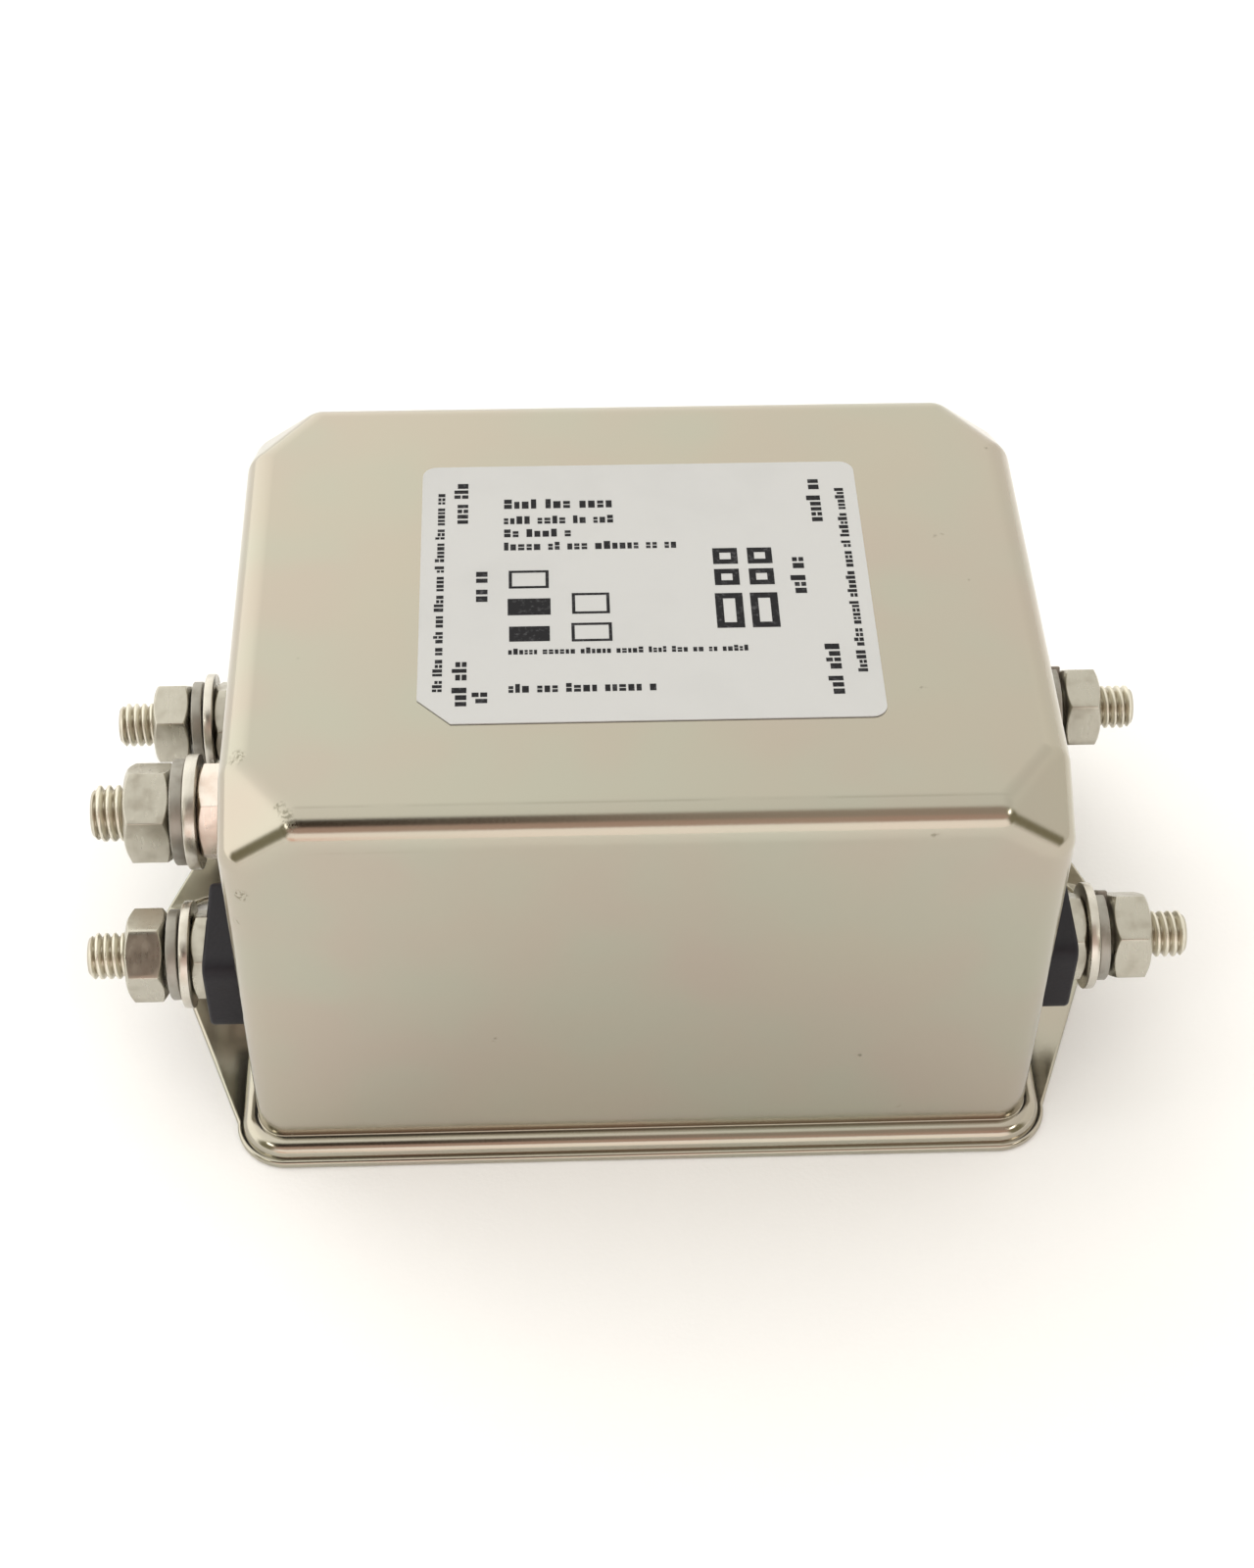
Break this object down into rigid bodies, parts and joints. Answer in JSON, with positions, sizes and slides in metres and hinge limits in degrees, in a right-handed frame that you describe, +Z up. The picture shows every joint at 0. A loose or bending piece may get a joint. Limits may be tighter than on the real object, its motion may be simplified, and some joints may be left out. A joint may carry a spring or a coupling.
{
  "type": "emi line filter",
  "caption": "Potted mains line filter in a drawn metal can with a mounting ear and screw terminals at each end and an earth stud.",
  "frame": {"origin": "centre of the mounting-slot pattern, on the underside of the base plate", "axes": "+X along the case from the line side to the load side, +Y across the case from the neutral studs to the phase studs, +Z up out of the mounting surface"},
  "size_m": [0.0927, 0.0536, 0.0404],
  "materials": {
    "case_steel": "bright nickel-plated drawn sheet with soft warm reflections",
    "base_steel": "bright nickel-plated sheet",
    "label_film": "satin white film",
    "block_plastic": "moulded, slightly grained",
    "bush_plastic": "moulded",
    "stud_steel": "rolled thread, plated",
    "nut_steel": "plated, warm grey",
    "washer_steel": "plated",
    "spring_steel": "dull plated spring steel",
    "ferrite": "dull, coated",
    "copper_wire": "enamelled copper",
    "x_capacitor_case": "moulded box",
    "y_capacitor_coat": "dipped coat",
    "resistor_coat": "lacquer",
    "potting_compound": "cast resin"
  },
  "bodies": {
    "root": {"case": "case_steel", "base_plate": "base_steel", "label": "label_film", "insulator_line_phase": "block_plastic", "insulator_line_neutral": "block_plastic", "insulator_load_phase": "block_plastic", "insulator_load_neutral": "block_plastic", "inner_bushes": "bush_plastic", "terminal_studs": "stud_steel", "thin_nuts": "nut_steel", "flat_washers": "washer_steel", "spring_washers": "spring_steel", "terminal_nuts": "nut_steel", "earth_stud": "stud_steel", "earth_tooth_washer": "spring_steel", "earth_inner_nut": "nut_steel", "earth_flat_washer": "washer_steel", "earth_spring_washer": "spring_steel", "earth_nut": "nut_steel", "choke_core": "ferrite", "choke_divider": "bush_plastic", "choke_winding_phase": "copper_wire", "choke_winding_neutral": "copper_wire", "x_capacitor_line": "x_capacitor_case", "x_capacitor_load": "x_capacitor_case", "y_capacitor_phase": "y_capacitor_coat", "y_capacitor_neutral": "y_capacitor_coat", "bleed_resistor": "resistor_coat", "potting": "potting_compound"}
  },
  "joints": []
}
